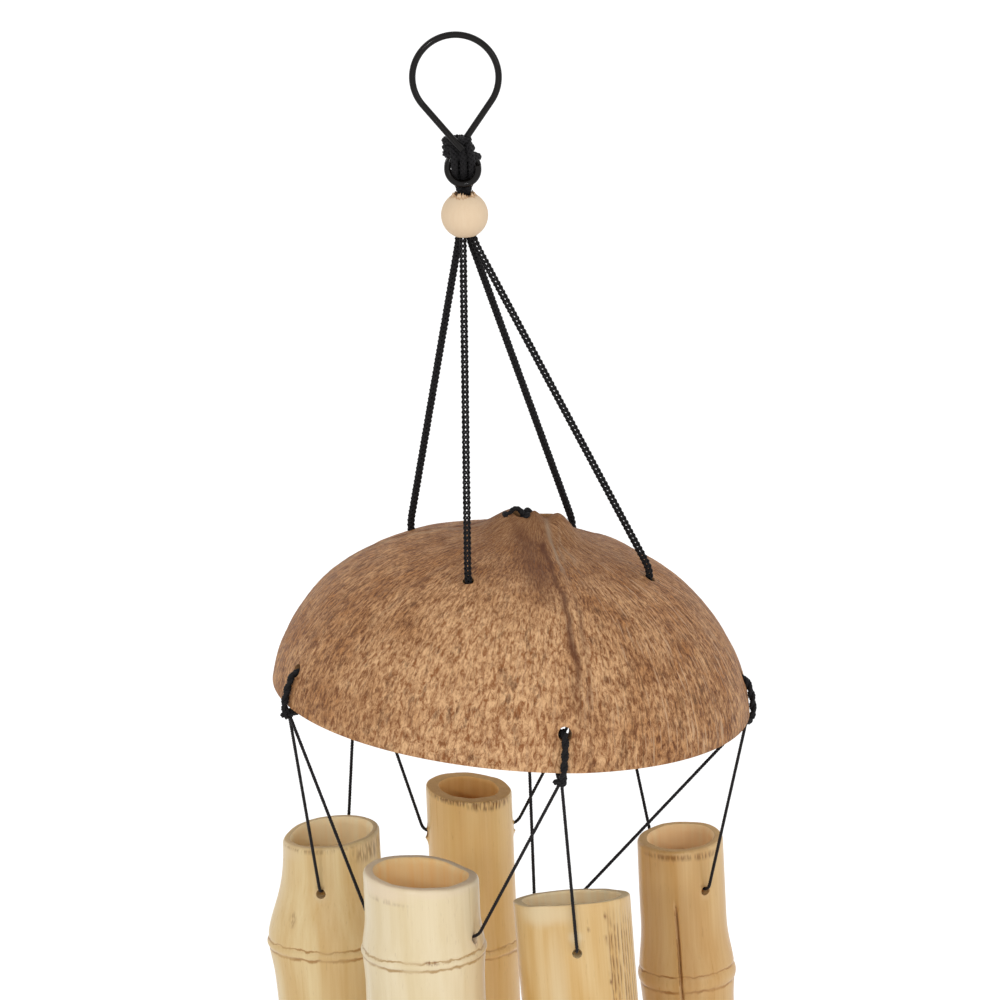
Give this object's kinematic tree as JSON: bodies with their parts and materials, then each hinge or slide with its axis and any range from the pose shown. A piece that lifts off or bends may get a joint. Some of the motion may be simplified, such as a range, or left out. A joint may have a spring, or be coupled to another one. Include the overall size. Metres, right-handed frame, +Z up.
{
  "type": "bamboo wind chime",
  "caption": "Bamboo wind chime: a half coconut shell hung by braided cords from a wire hook, with bamboo tubes threaded round its rim and a wooden striker inside.",
  "frame": {"origin": "inside top of the wire hook's loop, where it rests on its nail", "axes": "+Z up, -Y towards the viewer of the picture, +X to the viewer's right"},
  "size_m": [0.1318, 0.1283, 0.5716],
  "materials": {
    "black_wire": "black enamelled steel wire, glossy",
    "black_cord": "braided black synthetic cord with a slight sparkle",
    "black_thread": "twisted black nylon thread",
    "bead_wood": "pale turned wood, bare",
    "coconut_shell": "scraped and sanded coconut shell, satin, fibre streaks",
    "bamboo_cream": "pale bamboo, satin skin, sawn ends",
    "bamboo_gold": "golden bamboo, satin skin, sawn ends",
    "bamboo_tan": "tan bamboo, satin skin, scorched sawn ends",
    "striker_wood": "turned wood disc, oiled"
  },
  "bodies": {
    "hook": {"wire_hook": "black_wire", "hitch": "black_cord"},
    "canopy": {"bead": "bead_wood", "hanger_cord_front_left": "black_cord", "hanger_cord_front_right": "black_cord", "hanger_cord_rear_right": "black_cord", "hanger_cord_rear_left": "black_cord", "hanger_stop_knots": "black_cord", "coconut_shell": "coconut_shell", "crown_knot": "black_cord", "rim_tie_left": "black_cord", "rim_tie_front": "black_cord", "rim_tie_right": "black_cord", "rim_tie_rear_right": "black_cord", "rim_tie_rear_left": "black_cord"},
    "sling_left_rear": {"thread_left_rear": "black_thread"},
    "chime_left_rear": {"tube_left_rear": "bamboo_gold"},
    "sling_left_front": {"thread_left_front": "black_thread"},
    "chime_left_front": {"tube_left_front": "bamboo_cream"},
    "sling_rear": {"thread_rear": "black_thread"},
    "chime_rear": {"tube_rear": "bamboo_tan"},
    "sling_right_front": {"thread_right_front": "black_thread"},
    "chime_right_front": {"tube_right_front": "bamboo_gold"},
    "sling_right_rear": {"thread_right_rear": "black_thread"},
    "chime_right_rear": {"tube_right_rear": "bamboo_tan"},
    "striker": {"striker_cord": "black_thread", "striker": "striker_wood", "striker_knot": "black_cord"},
    "catcher": {"catcher_cord": "black_thread", "catcher": "bamboo_gold", "catcher_tie": "black_cord"}
  },
  "joints": [
    {"name": "canopy_swing", "type": "hinge", "parent": "hook", "child": "canopy", "pos_m": [0, 0, -0.03943], "axis": [1, 0, 0], "range_deg": [-25, 25]},
    {"name": "left_rear_swing", "type": "hinge", "parent": "canopy", "child": "sling_left_rear", "pos_m": [-0.03416, 0.04662, -0.17394], "axis": [0.2353, 0.9716, -0.0255], "range_deg": [-1.5, 30]},
    {"name": "left_rear_tilt", "type": "hinge", "parent": "sling_left_rear", "child": "chime_left_rear", "pos_m": [-0.04241, 0.01256, -0.22965], "axis": [0.2354, 0.9719, 0], "range_deg": [-1.5, 25]},
    {"name": "left_front_swing", "type": "hinge", "parent": "canopy", "child": "sling_left_front", "pos_m": [-0.0508, -0.02206, -0.17214], "axis": [-0.8621, 0.498, 0.0934], "range_deg": [-1.5, 30]},
    {"name": "left_front_tilt", "type": "hinge", "parent": "sling_left_front", "child": "chime_left_front", "pos_m": [-0.01794, -0.04105, -0.2261], "axis": [-0.8659, 0.5002, 0], "range_deg": [-1.5, 25]},
    {"name": "rear_swing", "type": "hinge", "parent": "canopy", "child": "sling_rear", "pos_m": [0.03504, 0.05653, -0.18144], "axis": [0.9843, 0.1409, -0.1066], "range_deg": [-1.5, 30]},
    {"name": "rear_tilt", "type": "hinge", "parent": "sling_rear", "child": "chime_rear", "pos_m": [-0.00538, 0.05074, -0.23086], "axis": [0.9899, 0.1417, 0], "range_deg": [-1.5, 25]},
    {"name": "right_front_swing", "type": "hinge", "parent": "canopy", "child": "sling_right_front", "pos_m": [0.01912, -0.06245, -0.17972], "axis": [-0.6384, -0.7666, 0.069], "range_deg": [-1.5, 30]},
    {"name": "right_front_tilt", "type": "hinge", "parent": "sling_right_front", "child": "chime_right_front", "pos_m": [0.02127, -0.04424, -0.22658], "axis": [0.0224, -0.9984, -0.0526], "range_deg": [-1.5, 25]},
    {"name": "right_rear_swing", "type": "hinge", "parent": "canopy", "child": "sling_right_rear", "pos_m": [0.06932, -0.00217, -0.18514], "axis": [0.5036, -0.8622, -0.0544], "range_deg": [-1.5, 30]},
    {"name": "right_rear_tilt", "type": "hinge", "parent": "sling_right_rear", "child": "chime_right_rear", "pos_m": [0.05218, 0.02718, -0.23989], "axis": [0.5041, -0.863, 0.0349], "range_deg": [-1.5, 25]},
    {"name": "striker_swing", "type": "hinge", "parent": "canopy", "child": "striker", "pos_m": [0.01139, -0.001, -0.12636], "axis": [0, -1, 0], "range_deg": [-4, 4]},
    {"name": "catcher_swing", "type": "hinge", "parent": "striker", "child": "catcher", "pos_m": [0.01139, -0.001, -0.33536], "axis": [-1, 0, 0], "range_deg": [-8, 8]}
  ]
}
